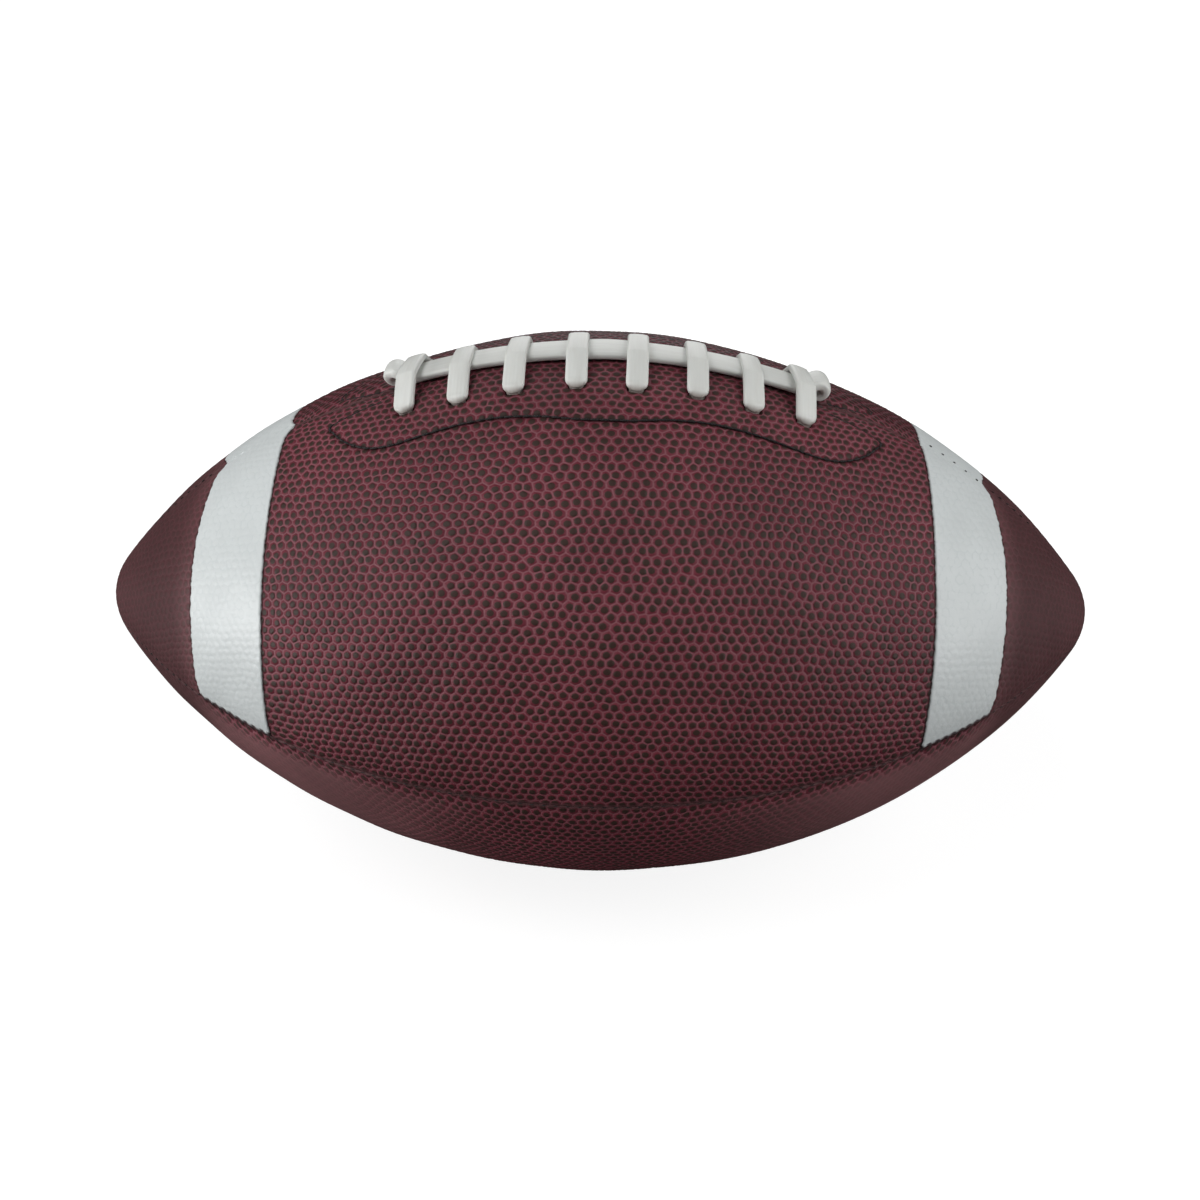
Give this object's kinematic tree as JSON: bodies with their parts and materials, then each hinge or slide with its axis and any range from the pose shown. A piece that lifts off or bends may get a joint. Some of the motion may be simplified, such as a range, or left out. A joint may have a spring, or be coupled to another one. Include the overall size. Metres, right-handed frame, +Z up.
{
  "type": "american football",
  "caption": "American football with a pebbled maroon-brown cover, white laces, white stripes on the two laced panels, inner bladder and needle valve.",
  "frame": {"origin": "middle of the ball's length, under the middle of its width, in the plane of the floor that its flat rest patch stands on", "axes": "+X along the ball's long axis, +Z up through the laces, -Y the side that the picture shows below the laces"},
  "size_m": [0.2828, 0.154, 0.1618],
  "materials": {
    "cover": "pebbled composite leather, satin",
    "stripe_film": "printed white film that follows the pebbles",
    "lining_fabric": "plain woven cotton",
    "backing": "smooth",
    "thread": "waxed black thread",
    "lace_vinyl": "soft white vinyl, finely ribbed",
    "bladder_rubber": "moulded",
    "valve_rubber": "moulded"
  },
  "bodies": {
    "root": {"panel_front_upper": "cover", "panel_rear_upper": "cover", "panel_front_lower": "cover", "panel_rear_lower": "cover", "stripe_front_left": "stripe_film", "stripe_front_right": "stripe_film", "stripe_rear_left": "stripe_film", "stripe_rear_right": "stripe_film", "lining_front_upper": "lining_fabric", "lining_rear_upper": "lining_fabric", "lining_front_lower": "lining_fabric", "lining_rear_lower": "lining_fabric", "placket_front": "backing", "placket_rear": "backing", "placket_stitch_front": "thread", "placket_stitch_rear": "thread", "seam_thread_top_left": "thread", "seam_thread_top_right": "thread", "seam_thread_front": "thread", "seam_thread_bottom": "thread", "seam_thread_rear": "thread", "lace": "lace_vinyl", "tongue": "backing", "bladder": "bladder_rubber", "valve_housing": "valve_rubber", "valve_core": "valve_rubber"}
  },
  "joints": []
}
